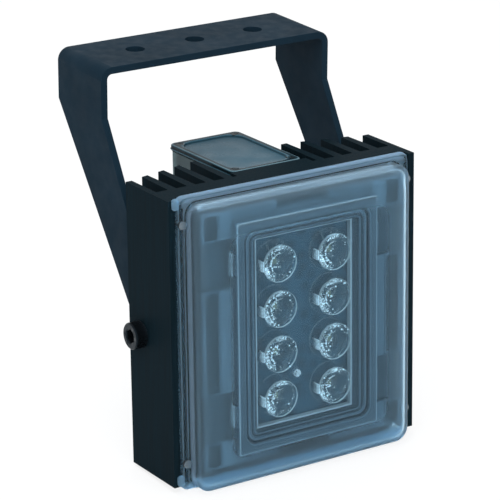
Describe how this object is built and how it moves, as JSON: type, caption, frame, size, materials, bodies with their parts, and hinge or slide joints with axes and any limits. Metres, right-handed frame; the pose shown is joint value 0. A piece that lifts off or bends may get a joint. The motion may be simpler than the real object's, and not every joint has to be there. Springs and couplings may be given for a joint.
{
  "type": "white light illuminator",
  "caption": "Square floodlight head with a clear cover over rows of lenses, a finned back and a junction box, tilting in a U-shaped strip bracket.",
  "frame": {"origin": "middle hole of the bracket, at the plate's outer face", "axes": "+Z out of the bracket's plate towards what it is fixed to, +X across the lamp, +Y to the lamp's rear"},
  "size_m": [0.1432, 0.122, 0.1805],
  "materials": {
    "bracket_paint": "satin",
    "black_screw": "satin",
    "plain_steel": "satin",
    "heat_sink_black": "satin",
    "bare_aluminium": "satin",
    "thermal_grey": "matte",
    "board_green": "satin",
    "emitter_yellow": "gloss",
    "clear_lens": "gloss",
    "clear_holder": "gloss",
    "tray_grey": "satin",
    "clear_cover": "gloss",
    "seal_rubber": "matte",
    "box_smoke": "gloss",
    "driver_green": "matte",
    "coil_dark": "matte",
    "terminal_grey": "matte",
    "gland_black": "matte"
  },
  "bodies": {
    "bracket": {"mounting_bracket": "bracket_paint", "pivot_screw_left": "black_screw", "pivot_screw_right": "black_screw", "pivot_washer_left": "plain_steel", "pivot_washer_right": "plain_steel"},
    "head": {"heat_sink": "heat_sink_black", "spreader_plate": "bare_aluminium", "thermal_pad": "thermal_grey", "led_board": "board_green", "board_screws": "plain_steel", "led_emitter_1": "emitter_yellow", "lens_1": "clear_lens", "lens_holder_1": "clear_holder", "led_emitter_2": "emitter_yellow", "lens_2": "clear_lens", "lens_holder_2": "clear_holder", "led_emitter_3": "emitter_yellow", "lens_3": "clear_lens", "lens_holder_3": "clear_holder", "led_emitter_4": "emitter_yellow", "lens_4": "clear_lens", "lens_holder_4": "clear_holder", "led_emitter_5": "emitter_yellow", "lens_5": "clear_lens", "lens_holder_5": "clear_holder", "led_emitter_6": "emitter_yellow", "lens_6": "clear_lens", "lens_holder_6": "clear_holder", "led_emitter_7": "emitter_yellow", "lens_7": "clear_lens", "lens_holder_7": "clear_holder", "led_emitter_8": "emitter_yellow", "lens_8": "clear_lens", "lens_holder_8": "clear_holder", "light_sensor": "clear_holder", "lamp_tray": "tray_grey", "front_cover": "clear_cover", "cover_gasket": "seal_rubber", "cover_screws": "plain_steel", "box_base": "box_smoke", "box_gasket": "seal_rubber", "box_lid": "box_smoke", "box_lid_screws": "black_screw", "box_fixing_screws": "plain_steel", "driver_board": "driver_green", "driver_coil": "coil_dark", "terminal_block": "terminal_grey", "wire_grommet": "seal_rubber", "gland_body": "gland_black", "gland_locknut": "gland_black", "gland_seal": "seal_rubber", "gland_nut": "gland_black"}
  },
  "joints": [
    {"name": "tilt_hinge", "type": "hinge", "parent": "bracket", "child": "head", "pos_m": [0, -0.06075, -0.113], "axis": [1, 0, 0], "range_deg": [-25, 130]}
  ]
}
